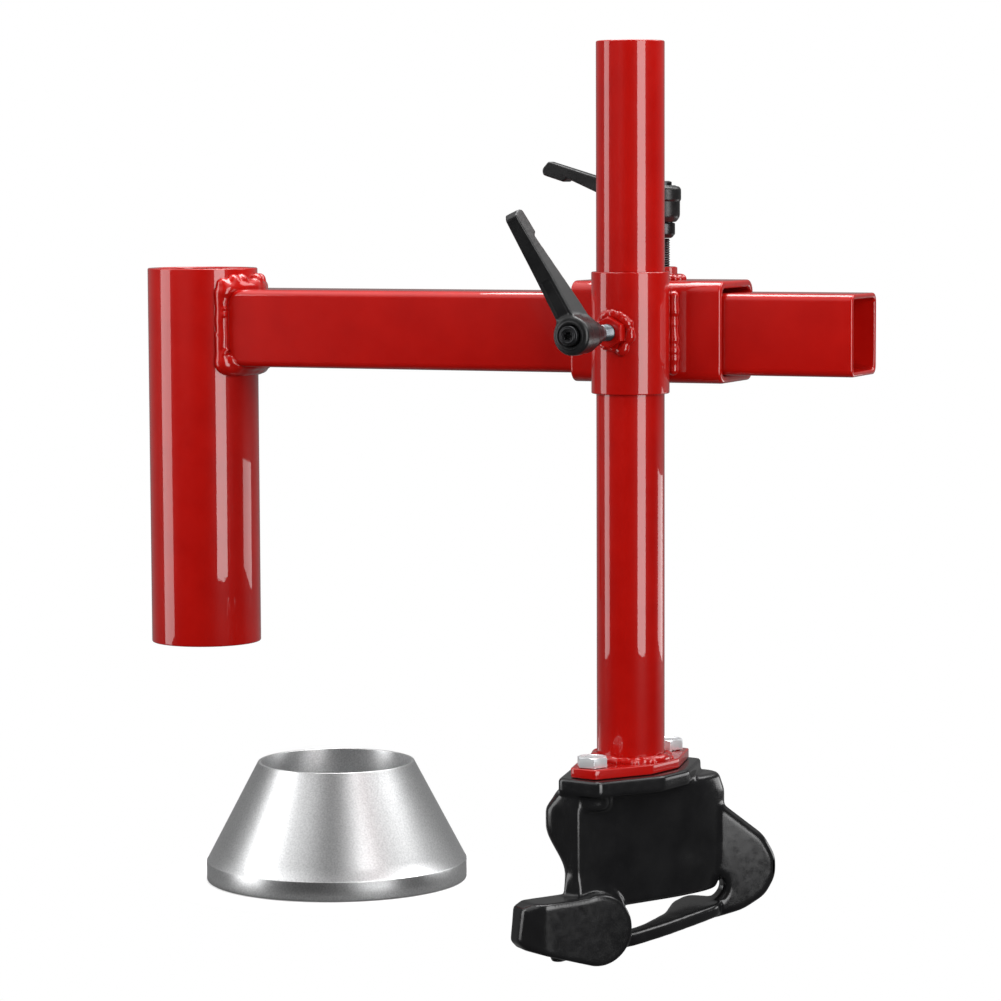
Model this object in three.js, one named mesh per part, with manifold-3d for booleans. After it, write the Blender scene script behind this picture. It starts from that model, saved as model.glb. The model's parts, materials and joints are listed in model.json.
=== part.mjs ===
// Mount and demount arm for a manual tyre changer, with its loose wheel-centring cone.
// Millimetres, +Z up. The origin is on the pivot sleeve's axis, at its bottom rim.
// +X runs along the arm, and the working post stands on the arm's -Y side.
import * as THREE from 'three';
import { mergeVertices } from 'three/addons/utils/BufferGeometryUtils.js';
import Module from 'manifold-3d';

const wasm = await Module();
wasm.setup();

// ---------------------------------------------------------------- driving dimensions
const GAP = 0.3;                 // air left between touching pieces
const ROUND = 56;                // facets round a large tube
const SMALL_ROUND = 32;          // facets round a stud, screw or hub

const PIVOT_OD = 73.0;           // 2 1/2 inch pipe
const PIVOT_ID = 62.7;           // slides over a 60.3 mm changer post
const PIVOT_LENGTH = 250;

const ARM_SIDE = 50.8;           // 2 inch square tube
const ARM_WALL = 3.2;
const ARM_CORNER = 5;
const ARM_END_X = 459;
const ARM_Z = 211;

const CARRIAGE_SIDE = 63.5;      // 2 1/2 inch square tube
const CARRIAGE_WALL = 4.76;
const CARRIAGE_CORNER = 8;
const CARRIAGE_LENGTH = 100;
const CARRIAGE_X = 326;
const CARRIAGE_LIFT = 1.2;       // the top screw pulls the carriage up against the arm's underside
const CARRIAGE_Z = ARM_Z + CARRIAGE_LIFT;

const CLAMP_OD = 48.3;           // 1 1/2 inch pipe, bored to suit the post
const CLAMP_ID = 42.8;
const CLAMP_LENGTH = 75;
const CLAMP_Z = 213;

const POST_OD = 42.2;            // 1 1/4 inch pipe
const POST_WALL = 3.5;
const POST_TOP_Z = 391.5;
const FLANGE_TOP_Z = -52;
const FLANGE_THICKNESS = 6;
const POST_X = CARRIAGE_X;
const POST_Y = -(CARRIAGE_SIDE / 2 + GAP + CLAMP_OD / 2);

const SCREW_R = 5;               // M10 clamping studs and flange bolts
const SCREW_HOLE_R = 5.3;
const NUT_ACROSS_FLATS = 17;
const NUT_HEIGHT = 8.4;
const STUD_BACK_OFF = 1.2;       // the studs are stored backed off the tube they clamp
const FRONT_SCREW_Z = CLAMP_Z + 1;
const FRONT_SCREW_TURN = THREE.MathUtils.degToRad(-5);   // the front screw's lean from -Y towards -X

const HEAD_TURN = THREE.MathUtils.degToRad(77);   // the bolt line, measured from +X
const BOLT_SPACING = 85;
const HEAD_TOP_Z = FLANGE_TOP_Z - FLANGE_THICKNESS - GAP;
const FLOOR_Z = -173;            // lowest point of the head, and the level the cone stands on

const CONE_BASE_R = 90;
const CONE_TOP_R = 54;
const CONE_BORE_R = 52;
const CONE_BAND = 13;
const CONE_HEIGHT = 81;
const CONE_X = 53;
const CONE_Y = 89;

// ---------------------------------------------------------------- finishes
const redCoat = () => new THREE.MeshStandardMaterial({ color: 0xa60f0a, roughness: 0.22, metalness: 0.1 });
const blackNylon = () => new THREE.MeshStandardMaterial({ color: 0x0d0d0e, roughness: 0.2, metalness: 0 });
const blackLever = () => new THREE.MeshStandardMaterial({ color: 0x1c1c1d, roughness: 0.42, metalness: 0.1 });
const blackSteel = () => new THREE.MeshStandardMaterial({ color: 0x232323, roughness: 0.4, metalness: 0.8 });
const zincSteel = () => new THREE.MeshStandardMaterial({ color: 0xc8ccd0, roughness: 0.28, metalness: 1 });
const springSteel = () => new THREE.MeshStandardMaterial({ color: 0x8f9296, roughness: 0.35, metalness: 1 });
const brass = () => new THREE.MeshStandardMaterial({ color: 0xb8923f, roughness: 0.35, metalness: 1 });
const aluminium = () => new THREE.MeshStandardMaterial({ color: 0xc9cacb, roughness: 0.32, metalness: 1 });

// ---------------------------------------------------------------- solids
function toSolid(geometry) {
  const bare = geometry.clone();
  bare.deleteAttribute('normal');
  bare.deleteAttribute('uv');
  const merged = mergeVertices(bare, 1e-4);
  return new wasm.Manifold(new wasm.Mesh({
    numProp: 3,
    vertProperties: merged.attributes.position.array,
    triVerts: Uint32Array.from(merged.index.array),
  }));
}

function toGeometry(solid) {
  const mesh = solid.getMesh();
  const geometry = new THREE.BufferGeometry();
  geometry.setAttribute('position', new THREE.BufferAttribute(mesh.vertProperties, 3));
  geometry.setIndex(new THREE.BufferAttribute(mesh.triVerts, 1));
  geometry.computeVertexNormals();
  return geometry;
}

function combine(first, joined = [], cut = [], kept = []) {
  let solid = toSolid(first);
  for (const geometry of joined) {
    solid = solid.add(toSolid(geometry));
  }
  for (const geometry of cut) {
    solid = solid.subtract(toSolid(geometry));
  }
  for (const geometry of kept) {
    solid = solid.intersect(toSolid(geometry));
  }
  return toGeometry(solid);
}

// Turns a profile of [radius, height] points about the Z axis. The points run up the outside.
function turned(profile, facets = SMALL_ROUND) {
  const points = profile.map(([radius, height]) => new THREE.Vector2(radius, height));
  return new THREE.LatheGeometry(points, facets).rotateX(Math.PI / 2);
}

function rod(radius, from, to, facets = SMALL_ROUND) {
  return turned([[0, from], [radius, from], [radius, to], [0, to]], facets);
}

function pipe(outer, inner, from, to, facets = ROUND) {
  return turned([[inner, from], [outer, from], [outer, to], [inner, to], [inner, from]], facets);
}

function extruded(shape, from, to, curveSegments = 6) {
  const options = { depth: to - from, bevelEnabled: false, curveSegments };
  return new THREE.ExtrudeGeometry(shape, options).translate(0, 0, from);
}

function roundedSquare(side, corner) {
  const half = side / 2;
  const inner = half - corner;
  const shape = new THREE.Shape();
  shape.absarc(inner, inner, corner, 0, Math.PI / 2);
  shape.absarc(-inner, inner, corner, Math.PI / 2, Math.PI);
  shape.absarc(-inner, -inner, corner, Math.PI, Math.PI * 1.5);
  shape.absarc(inner, -inner, corner, Math.PI * 1.5, Math.PI * 2);
  return shape;
}

// A square tube along +X, its section centred on the X axis.
function squareTube(side, corner, bore, boreCorner, from, to) {
  const shape = roundedSquare(side, corner);
  shape.holes.push(roundedSquare(bore, boreCorner));
  return extruded(shape, from, to).rotateY(Math.PI / 2);
}

function polygon(points) {
  return new THREE.Shape(points.map(([x, y]) => new THREE.Vector2(x, y)));
}

function hexagon(acrossFlats) {
  const radius = acrossFlats / Math.sqrt(3);
  const corners = [0, 1, 2, 3, 4, 5].map((step) => step * Math.PI / 3);
  return polygon(corners.map((angle) => [radius * Math.cos(angle), radius * Math.sin(angle)]));
}

function mesh(name, geometry, material) {
  const made = new THREE.Mesh(geometry, material);
  made.name = name;
  return made;
}

const machine = new THREE.Group();

// ---------------------------------------------------------------- pivot sleeve and arm
function pivotAndArm() {
  const group = new THREE.Group();
  const clearance = rod(PIVOT_OD / 2 + GAP, -60, PIVOT_LENGTH + 60, ROUND);
  const sleeve = pipe(PIVOT_OD / 2, PIVOT_ID / 2, 0, PIVOT_LENGTH);
  group.add(mesh('pivot_sleeve', sleeve, redCoat()));

  const bore = ARM_SIDE - 2 * ARM_WALL;
  const blank = squareTube(ARM_SIDE, ARM_CORNER, bore, ARM_CORNER - ARM_WALL, 20, ARM_END_X);
  const arm = combine(blank.translate(0, 0, ARM_Z), [], [clearance]);
  group.add(mesh('arm_tube', arm, redCoat()));

  const beadReach = 5.5;
  const collar = squareTube(ARM_SIDE + 2 * beadReach, ARM_CORNER + beadReach,
    ARM_SIDE + 2 * GAP, ARM_CORNER + GAP, 12, 60).translate(0, 0, ARM_Z);
  const reach = rod(PIVOT_OD / 2 + 7, 100, PIVOT_LENGTH + 60, ROUND);
  group.add(mesh('arm_weld', combine(collar, [], [clearance], [reach]), redCoat()));
  return group;
}
machine.add(pivotAndArm());

// ---------------------------------------------------------------- sliding carriage
// A nut lies on Z = 0 with its thread axis along Z, and its weld bead runs round its foot.
function weldNut() {
  const shape = hexagon(NUT_ACROSS_FLATS);
  const thread = new THREE.Path();
  thread.absarc(0, 0, SCREW_HOLE_R, 0, Math.PI * 2);
  shape.holes.push(thread);
  return extruded(shape, GAP, NUT_HEIGHT);
}

function nutBead(foot) {
  const bead = turned([[0, foot], [14.5, foot], [14, 1.5], [11.5, 5.5], [0, 5.5]]);
  const nut = extruded(hexagon(NUT_ACROSS_FLATS + 2 * GAP), foot - 1, NUT_HEIGHT);
  return combine(bead, [], [nut]);
}

// Turns a piece built along +Z so that it points out of the clamp sleeve's front.
function facingFront(geometry) {
  const outward = geometry.rotateX(Math.PI / 2).translate(0, -CLAMP_OD / 2, FRONT_SCREW_Z);
  return outward.rotateZ(FRONT_SCREW_TURN).translate(POST_X, POST_Y, 0);
}

function onCarriageTop(geometry) {
  return geometry.translate(CARRIAGE_X, 0, CARRIAGE_Z + CARRIAGE_SIDE / 2);
}

function carriage() {
  const group = new THREE.Group();
  const left = CARRIAGE_X - CARRIAGE_LENGTH / 2;
  const right = CARRIAGE_X + CARRIAGE_LENGTH / 2;
  const bore = CARRIAGE_SIDE - 2 * CARRIAGE_WALL;
  const stock = squareTube(CARRIAGE_SIDE, CARRIAGE_CORNER, bore, CARRIAGE_CORNER - CARRIAGE_WALL,
    left, right).translate(0, 0, CARRIAGE_Z);
  const topHole = onCarriageTop(rod(6, -12, 12));
  group.add(mesh('carriage_tube', combine(stock, [], [topHole]), redCoat()));

  const low = CLAMP_Z - CLAMP_LENGTH / 2;
  const high = CLAMP_Z + CLAMP_LENGTH / 2;
  const clamp = pipe(CLAMP_OD / 2, CLAMP_ID / 2, low, high).translate(POST_X, POST_Y, 0);
  const frontHole = facingFront(rod(6, -14, 8));
  group.add(mesh('post_clamp_sleeve', combine(clamp, [], [frontHole]), redCoat()));

  // The fillet fills the groove between the round sleeve and the flat tube, on both sides.
  const face = -CARRIAGE_SIDE / 2 - GAP;
  const aroundClamp = rod(CLAMP_OD / 2 + GAP, low, high, ROUND).translate(POST_X, POST_Y, 0);
  for (const [side, name] of [[-1, 'clamp_weld_left'], [1, 'clamp_weld_right']]) {
    const groove = [[12, face], [25, face], [23.5, face - 6], [20.5, face - 10], [14, face - 8]];
    const section = groove.map(([offset, y]) => [POST_X + side * offset, y]);
    const bead = extruded(polygon(section), CARRIAGE_Z - 25, CARRIAGE_Z + 25);
    group.add(mesh(name, combine(bead, [], [aroundClamp]), redCoat()));
  }

  group.add(mesh('front_weld_nut', facingFront(weldNut()), redCoat()));
  const frontBead = combine(facingFront(nutBead(-6)), [], [aroundClamp]);
  group.add(mesh('front_nut_weld', frontBead, redCoat()));
  group.add(mesh('top_weld_nut', onCarriageTop(weldNut()), redCoat()));
  group.add(mesh('top_nut_weld', onCarriageTop(nutBead(GAP)), redCoat()));
  return group;
}
machine.add(carriage());

// ---------------------------------------------------------------- adjustable clamping levers
// Built along +Z from the wall that carries the nut, with the handle pointing along +X.
const COLLAR_FROM = 26.3;
const HUB_FROM = 36.3;
const HUB_TO = 58.8;
const HUB_R = 12;
const BORE_TO = 44.6;
const RECESS_FROM = 47.2;
const HEAD_FROM = 57.4;
const SCREW_HEAD_R = 6.1;
const HANDLE_REACH = 84;
const HANDLE_RISE = THREE.MathUtils.degToRad(20);

function clampStud(tip) {
  const chamfer = 1;
  const end = COLLAR_FROM - GAP;
  return turned([[0, tip], [SCREW_R - chamfer, tip], [SCREW_R, tip + chamfer], [SCREW_R, end], [0, end]]);
}

function serratedInsert() {
  const thread = 2.8;
  return turned([[0, COLLAR_FROM], [6.6, COLLAR_FROM], [8.2, COLLAR_FROM + 2], [8.2, HUB_FROM - GAP],
    [6.7, HUB_FROM - GAP], [6.7, BORE_TO - 0.6], [thread, BORE_TO - 0.6], [thread, HUB_FROM + 1],
    [0, HUB_FROM + 1]]);
}

function retainingScrew() {
  const socket = 2.6;
  return turned([[0, HUB_FROM + 1.6], [2.5, HUB_FROM + 1.6], [2.5, HEAD_FROM], [SCREW_HEAD_R, HEAD_FROM],
    [SCREW_HEAD_R, 60.8], [SCREW_HEAD_R - 0.8, 61.8], [socket, 61.8], [socket, 59], [0, 59]]);
}

// The spring's stack when the handle is pulled right out, which is the room it needs.
function springStack() {
  return pipe(5.6, 3.6, RECESS_FROM + 5, HEAD_FROM - GAP, SMALL_ROUND);
}

function handle() {
  const hub = turned([[0, HUB_FROM], [HUB_R - 0.6, HUB_FROM], [HUB_R, HUB_FROM + 1], [HUB_R, HUB_TO - 5],
    [HUB_R - 1.2, HUB_TO - 1.6], [HUB_R - 3, HUB_TO], [0, HUB_TO]]);
  // Side view of the grip, before it is tilted up: deep at the root, thin, then the end foot.
  const side = polygon([[0, 38.5], [18, 38.5], [65.5, 41.2], [65.5, 38.4], [82, 37.6], [HANDLE_REACH, 41],
    [HANDLE_REACH - 2, 47], [40, 49.4], [8, 53], [0, 53]]);
  const plan = polygon([[0, -10.4], [10, -8.6], [HANDLE_REACH - 2, -5.6], [HANDLE_REACH, -4], [HANDLE_REACH, 4],
    [HANDLE_REACH - 2, 5.6], [10, 8.6], [0, 10.4]]);
  const sideBlock = extruded(side, -14, 14).rotateX(Math.PI / 2);
  const grip = combine(sideBlock, [], [], [extruded(plan, 20, 70)]);
  const pivotHeight = 46;
  grip.translate(0, 0, -pivotHeight).rotateY(-HANDLE_RISE).translate(0, 0, pivotHeight);
  const bore = rod(7.1, HUB_FROM - 6, BORE_TO);
  const passage = rod(3.2, BORE_TO - 1, RECESS_FROM + 1);
  const recess = rod(SCREW_HEAD_R + 0.6, RECESS_FROM, HUB_TO + 8);
  return combine(hub, [grip], [bore, passage, recess]);
}

function clampLever(prefix, tip, place) {
  const group = new THREE.Group();
  group.add(mesh(`${prefix}_clamp_stud`, place(clampStud(tip)), zincSteel()));
  group.add(mesh(`${prefix}_lever_insert`, place(serratedInsert()), blackSteel()));
  group.add(mesh(`${prefix}_lever_spring`, place(springStack()), springSteel()));
  group.add(mesh(`${prefix}_lever_screw`, place(retainingScrew()), blackSteel()));
  group.add(mesh(`${prefix}_lever_handle`, place(handle()), blackLever()));
  return group;
}

const FRONT_HANDLE_ANGLE = THREE.MathUtils.degToRad(114);   // up, and leaning towards -X
const TOP_HANDLE_ANGLE = THREE.MathUtils.degToRad(178);       // back along the arm
const frontTip = -(CLAMP_OD - POST_OD) / 2 + STUD_BACK_OFF;
const topTip = (ARM_Z + ARM_SIDE / 2) - (CARRIAGE_Z + CARRIAGE_SIDE / 2) + STUD_BACK_OFF;
machine.add(clampLever('front', frontTip, (part) => facingFront(part.rotateZ(FRONT_HANDLE_ANGLE))));
machine.add(clampLever('top', topTip, (part) => onCarriageTop(part.rotateZ(TOP_HANDLE_ANGLE))));

// ---------------------------------------------------------------- post and flange
// Head pieces are drawn with X along the bolt line and Y to the working side's left.
function onHead(geometry) {
  return geometry.rotateZ(HEAD_TURN).translate(POST_X, POST_Y, 0);
}

function elongated(tipX, tipY, flatX, flatY) {
  return polygon([[-tipX, -tipY], [-flatX, -flatY], [flatX, -flatY], [tipX, -tipY],
    [tipX, tipY], [flatX, flatY], [-flatX, flatY], [-tipX, tipY]]);
}

const boltPlaces = [['near', -BOLT_SPACING / 2], ['far', BOLT_SPACING / 2]];

function postAndFlange() {
  const group = new THREE.Group();
  const post = pipe(POST_OD / 2, POST_OD / 2 - POST_WALL, FLANGE_TOP_Z + GAP, POST_TOP_Z);
  group.add(mesh('post_tube', post.translate(POST_X, POST_Y, 0), redCoat()));

  const outline = elongated(53, 9, 15, 26);
  const bottom = FLANGE_TOP_Z - FLANGE_THICKNESS;
  for (const [, x] of boltPlaces) {
    const hole = new THREE.Path();
    hole.absarc(x, 0, 5.5, 0, Math.PI * 2);
    outline.holes.push(hole);
  }
  group.add(mesh('post_flange', onHead(extruded(outline, bottom, FLANGE_TOP_Z, 14)), redCoat()));

  const inner = POST_OD / 2 + GAP;
  const foot = FLANGE_TOP_Z + GAP;
  const bead = turned([[inner, foot], [inner + 5, foot], [inner + 4.2, foot + 2.4], [inner, foot + 6.5],
    [inner, foot]], ROUND);
  group.add(mesh('flange_weld', bead.translate(POST_X, POST_Y, 0), redCoat()));

  for (const [name, x] of boltPlaces) {
    const head = extruded(hexagon(NUT_ACROSS_FLATS), FLANGE_TOP_Z + GAP, FLANGE_TOP_Z + 6.7);
    const shank = rod(SCREW_R, FLANGE_TOP_Z - 20, FLANGE_TOP_Z + 2);
    group.add(mesh(`flange_bolt_${name}`, onHead(combine(head, [shank]).translate(x, 0, 0)), zincSteel()));
    const insert = pipe(7.5, SCREW_HOLE_R, HEAD_TOP_Z - 15, HEAD_TOP_Z - GAP, SMALL_ROUND);
    group.add(mesh(`head_insert_${name}`, onHead(insert.translate(x, 0, 0)), brass()));
  }
  return group;
}
machine.add(postAndFlange());

// ---------------------------------------------------------------- duck head
// A block whose outline changes from one set of points at the top to another at the bottom.
function drafted(topPoints, bottomPoints, top, bottom) {
  const geometry = extruded(polygon(topPoints), bottom, top);
  const place = geometry.attributes.position;
  for (let i = 0; i < place.count; i += 1) {
    if (place.getZ(i) < (top + bottom) / 2) {
      const at = topPoints.findIndex(([x, y]) => Math.hypot(x - place.getX(i), y - place.getY(i)) < 0.01);
      place.setXY(i, bottomPoints[at][0], bottomPoints[at][1]);
    }
  }
  return geometry;
}

// A plate drawn in its own length and height, standing on edge at a place and heading in the head.
function uprightPlate(shape, thickness, x, y, heading) {
  const plate = extruded(shape, 0, thickness, 10).rotateX(Math.PI / 2);
  return plate.rotateZ(heading).translate(x, y, 0);
}

const BILL_HEADING = THREE.MathUtils.degToRad(-28);
const WING_HEADING = THREE.MathUtils.degToRad(-37);

function duckHead() {
  const lip = extruded(elongated(58, 15, 14.5, 34), HEAD_TOP_Z - 10, HEAD_TOP_Z);
  const wallTop = [[-57, 22], [-57, 1], [-20, -12], [20, -24], [42, -28], [62, -29], [69, -19], [66, 4],
    [40, 20], [0, 28], [-36, 28]];
  const wallBottom = [[-57, 11], [-57, 1], [-20, -12], [20, -24], [42, -28], [58, -27], [63, -19], [60, -6],
    [38, 4], [0, 12], [-36, 14]];
  const wall = drafted(wallTop, wallBottom, HEAD_TOP_Z - 8, -141);

  // The bill: a rounded cheek whose lower edge is the lowest point, drawn forward to a blunt tip.
  const cheekR = 22;
  const cheekZ = FLOOR_Z + cheekR;
  const bill = new THREE.Shape();
  bill.absarc(0, cheekZ, cheekR, -Math.PI * 0.56, Math.PI * 0.6);
  bill.lineTo(-18, -131.5);
  bill.lineTo(-43, -132.5);
  bill.lineTo(-46, -135.5);
  bill.lineTo(-47, -156);
  bill.lineTo(-44, -159.5);
  const billPlate = uprightPlate(bill, 24, -52, -13, BILL_HEADING);
  const backOfBill = new THREE.Vector2(Math.sin(-BILL_HEADING), Math.cos(BILL_HEADING)).multiplyScalar(24);
  billPlate.translate(backOfBill.x, backOfBill.y, 0);

  // The wing on the other end turns out and down, then back under the wall.
  const wing = polygon([[0, -78], [11, -84], [28, -99], [41, -110], [47.5, -123], [47, -134], [41, -145],
    [28, -153], [10, -157], [-4, -157], [-4, -149], [6, -147], [12, -141], [12, -134], [4, -130], [-6, -128]]);
  const wingPlate = uprightPlate(wing, 16, 55, -10, WING_HEADING);

  // The ledge that guides the bead joins the wing's foot to the bill's cheek.
  const ledgeTop = [[-50, -16], [-28, -22], [0, -27], [34, -31], [50, -32], [62, -22], [58, -6], [40, -8],
    [20, -14], [-10, -14], [-36, -8], [-50, -2]];
  const ledge = extruded(polygon(ledgeTop), 0, 8.5);
  const ledgeRise = 0.085;
  const points = ledge.attributes.position;
  for (let i = 0; i < points.count; i += 1) {
    points.setZ(i, points.getZ(i) - 161.5 + ledgeRise * points.getX(i));
  }

  const neck = drafted([[-57, 11], [-57, 1], [-36, -6], [-36, 10]], [[-66, 14], [-64, -8], [-34, -10], [-34, 8]],
    -118, -150);
  // The near pocket is wider than the wall, so a boss under the lip holds it.
  const [, nearX] = boltPlaces.find(([name]) => name === 'near');
  const boss = rod(11, HEAD_TOP_Z - 20, HEAD_TOP_Z - 5).translate(nearX, 0, 0);
  const pockets = boltPlaces.map(([, x]) => rod(7.8, HEAD_TOP_Z - 18, HEAD_TOP_Z + 2).translate(x, 0, 0));
  return onHead(combine(lip, [wall, neck, boss, billPlate, wingPlate, ledge], pockets));
}
machine.add(mesh('duck_head', duckHead(), blackNylon()));

// ---------------------------------------------------------------- centring cone
function centringCone() {
  const shoulder = CONE_BAND;
  const profile = [[CONE_BORE_R, 0], [CONE_BASE_R - 1, 0], [CONE_BASE_R, 1], [CONE_BASE_R, shoulder],
    [CONE_TOP_R, CONE_HEIGHT], [CONE_BORE_R, CONE_HEIGHT], [CONE_BORE_R, 0]];
  return turned(profile, ROUND).translate(CONE_X, CONE_Y, FLOOR_Z);
}
machine.add(mesh('centring_cone', centringCone(), aluminium()));

export default machine;
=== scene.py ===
# Looks of the tyre changer's mount and demount arm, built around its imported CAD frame.
# Shapes are worked out in millimetres and turned into metres when a mesh is made.
import json
import math

import bpy
import numpy as np
from mathutils import Matrix, Vector

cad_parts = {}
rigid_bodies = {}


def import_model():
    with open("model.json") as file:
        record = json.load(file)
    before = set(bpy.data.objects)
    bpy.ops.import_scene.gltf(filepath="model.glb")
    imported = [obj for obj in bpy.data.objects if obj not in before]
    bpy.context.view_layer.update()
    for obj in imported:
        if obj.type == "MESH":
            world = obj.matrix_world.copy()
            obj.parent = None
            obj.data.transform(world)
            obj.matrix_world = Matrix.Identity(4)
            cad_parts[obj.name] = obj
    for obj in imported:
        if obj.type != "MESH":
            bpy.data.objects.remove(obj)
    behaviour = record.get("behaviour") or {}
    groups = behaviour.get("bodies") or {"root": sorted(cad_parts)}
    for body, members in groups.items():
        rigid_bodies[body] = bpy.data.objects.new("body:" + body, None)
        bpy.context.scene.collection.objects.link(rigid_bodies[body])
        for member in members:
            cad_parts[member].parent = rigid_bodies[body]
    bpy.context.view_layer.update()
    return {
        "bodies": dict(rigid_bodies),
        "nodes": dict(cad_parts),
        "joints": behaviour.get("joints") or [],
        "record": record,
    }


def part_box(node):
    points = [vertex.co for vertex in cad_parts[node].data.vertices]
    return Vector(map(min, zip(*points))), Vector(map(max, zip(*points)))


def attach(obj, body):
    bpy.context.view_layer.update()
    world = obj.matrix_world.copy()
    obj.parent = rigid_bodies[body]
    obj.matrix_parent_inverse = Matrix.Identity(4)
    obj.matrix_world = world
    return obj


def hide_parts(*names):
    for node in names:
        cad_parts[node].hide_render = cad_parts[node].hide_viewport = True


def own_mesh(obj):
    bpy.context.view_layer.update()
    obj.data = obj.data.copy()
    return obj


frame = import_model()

MM = 0.001
RANDOM = np.random.default_rng(7)

# ---------------------------------------------------------------- camera
CAMERA_PLACE = (1.0960, -2.0860, 0.3010)
CAMERA_YAW = math.radians(22.90)
CAMERA_PITCH = math.radians(5.05)
CAMERA_ROLL = math.radians(-0.23)
CAMERA_LENS = 126.5
SENSOR_WIDTH = 36
FAR_CLIP = 60


def make_camera():
    data = bpy.data.cameras.new("camera")
    data.lens = CAMERA_LENS
    data.sensor_width = SENSOR_WIDTH
    data.clip_end = FAR_CLIP
    camera = bpy.data.objects.new("camera", data)
    bpy.context.scene.collection.objects.link(camera)
    turn = Matrix.Rotation(CAMERA_YAW, 4, "Z") @ Matrix.Rotation(math.pi / 2 - CAMERA_PITCH, 4, "X")
    camera.matrix_world = Matrix.Translation(CAMERA_PLACE) @ turn @ Matrix.Rotation(CAMERA_ROLL, 4, "Z")
    bpy.context.scene.camera = camera


# ---------------------------------------------------------------- places, from the frame
def millimetres(node):
    low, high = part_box(node)
    return np.array(low) / MM, np.array(high) / MM


def middle(node):
    low, high = millimetres(node)
    return (low + high) / 2


def span(node, axis=0):
    low, high = millimetres(node)
    return high[axis] - low[axis]


def joint(name):
    return next(j for j in frame["joints"] if j["name"] == name)


PIVOT_RADIUS = span("pivot_sleeve") / 2
ARM_SIDE = span("arm_tube", 1)
ARM_HEIGHT = middle("arm_tube")[2]
CARRIAGE_SIDE = span("carriage_tube", 1)
CLAMP_RADIUS = span("post_clamp_sleeve") / 2
POST_RADIUS = span("post_tube") / 2
POST_X, POST_Y = middle("post_tube")[:2]
HEAD_TURN = math.radians(77)
on_head = Matrix.Translation((POST_X, POST_Y, 0)) @ Matrix.Rotation(HEAD_TURN, 4, "Z")

FRONT_HANDLE_ANGLE = math.radians(114)
TOP_HANDLE_ANGLE = math.radians(178)


def front_seat():
    """From a lever's own frame, +Z out of the wall that carries its nut, to the clamp sleeve's front."""
    out = Vector(joint("front_lever_turn")["axis"])
    place = Vector(joint("front_lever_turn")["pos_m"]) / MM + out * CLAMP_RADIUS
    across = Vector((0, 0, 1)).cross(out)
    turn = Matrix((across, (0, 0, 1), out)).transposed().to_4x4()
    return Matrix.Translation(place) @ turn


def top_seat():
    """From a lever's own frame to the top of the carriage."""
    x, y, z = middle("carriage_tube")
    return Matrix.Translation((x, y, z + span("carriage_tube", 2) / 2))


# ---------------------------------------------------------------- materials
NOISE_LOW = 0.3
NOISE_HIGH = 0.7
COAT_ROUGHNESS = 0.02


def node(tree, kind, **inputs):
    made = tree.nodes.new(kind)
    for name, value in inputs.items():
        made.inputs[name.replace("_", " ")].default_value = value
    return made


def noise(tree, scale, detail=2.0):
    """Noise in the part's own space, so that it stays on the piece when the piece moves."""
    place = tree.nodes.new("ShaderNodeTexCoord")
    made = node(tree, "ShaderNodeTexNoise", Scale=scale, Detail=detail)
    tree.links.new(place.outputs["Object"], made.inputs["Vector"])
    return made.outputs["Fac"]


def spread(tree, value, low, high, start=NOISE_LOW, end=NOISE_HIGH):
    """Turns a value between start and end, such as noise, into a number between low and high."""
    made = node(tree, "ShaderNodeMapRange", From_Min=start, From_Max=end, To_Min=low, To_Max=high)
    tree.links.new(value, made.inputs["Value"])
    return made.outputs["Result"]


def blended(tree, value, first, second):
    """Turns a noise value into a colour between two."""
    ramp = tree.nodes.new("ShaderNodeValToRGB")
    for element, place, colour in zip(ramp.color_ramp.elements, (NOISE_LOW, NOISE_HIGH), (first, second)):
        element.position = place
        element.color = (*colour, 1)
    tree.links.new(value, ramp.inputs["Fac"])
    return ramp.outputs["Color"]


def bumps(tree, layers):
    """Stacks bump layers of (value, depth in metres). Returns the normal."""
    normal = None
    for value, depth in layers:
        bump = node(tree, "ShaderNodeBump", Strength=1.0, Distance=depth)
        tree.links.new(value, bump.inputs["Height"])
        if normal is not None:
            tree.links.new(normal, bump.inputs["Normal"])
        normal = bump.outputs["Normal"]
    return normal


def material(name, colours, roughness, layers, metallic=0.0, specular=0.5, coat=0.0, grain=40):
    """colours and roughness are each a pair that noise mixes between. layers are (scale, depth)."""
    made = bpy.data.materials.new(name)
    made.use_nodes = True
    tree = made.node_tree
    shader = tree.nodes["Principled BSDF"]
    shader.inputs["Metallic"].default_value = metallic
    shader.inputs["Coat Weight"].default_value = coat
    shader.inputs["Coat Roughness"].default_value = COAT_ROUGHNESS
    shader.inputs["Specular IOR Level"].default_value = specular
    colour = blended(tree, noise(tree, grain, 3.0), *colours)
    rough = spread(tree, noise(tree, grain * 6, 3.0), *roughness)
    tree.links.new(colour, shader.inputs["Base Color"])
    tree.links.new(rough, shader.inputs["Roughness"])
    normal = bumps(tree, [(noise(tree, scale), depth) for scale, depth in layers])
    tree.links.new(normal, shader.inputs["Normal"])
    if coat:
        tree.links.new(normal, shader.inputs["Coat Normal"])
    return made


def red_coat():
    """Gloss powder coat: a deep red with a faint orange-peel surface."""
    reds = ((0.34, 0.0025, 0.0011), (0.39, 0.004, 0.002))
    return material("red_coat", reds, (0.3, 0.4), [(55, 4e-5), (420, 4e-6)], specular=0.1, coat=1.0)


def black_nylon():
    blacks = ((0.007, 0.007, 0.0075), (0.012, 0.012, 0.0125))
    return material("black_nylon", blacks, (0.13, 0.21), [(38, 1.0e-4), (700, 3e-6)])


def black_lever():
    blacks = ((0.006, 0.006, 0.0065), (0.012, 0.012, 0.0125))
    return material("black_lever", blacks, (0.3, 0.42), [(2600, 7e-6)], specular=0.42, grain=90)


def black_steel():
    greys = ((0.025, 0.025, 0.027), (0.06, 0.06, 0.063))
    return material("black_steel", greys, (0.3, 0.42), [(1800, 5e-6)], metallic=0.9, grain=150)


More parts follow.
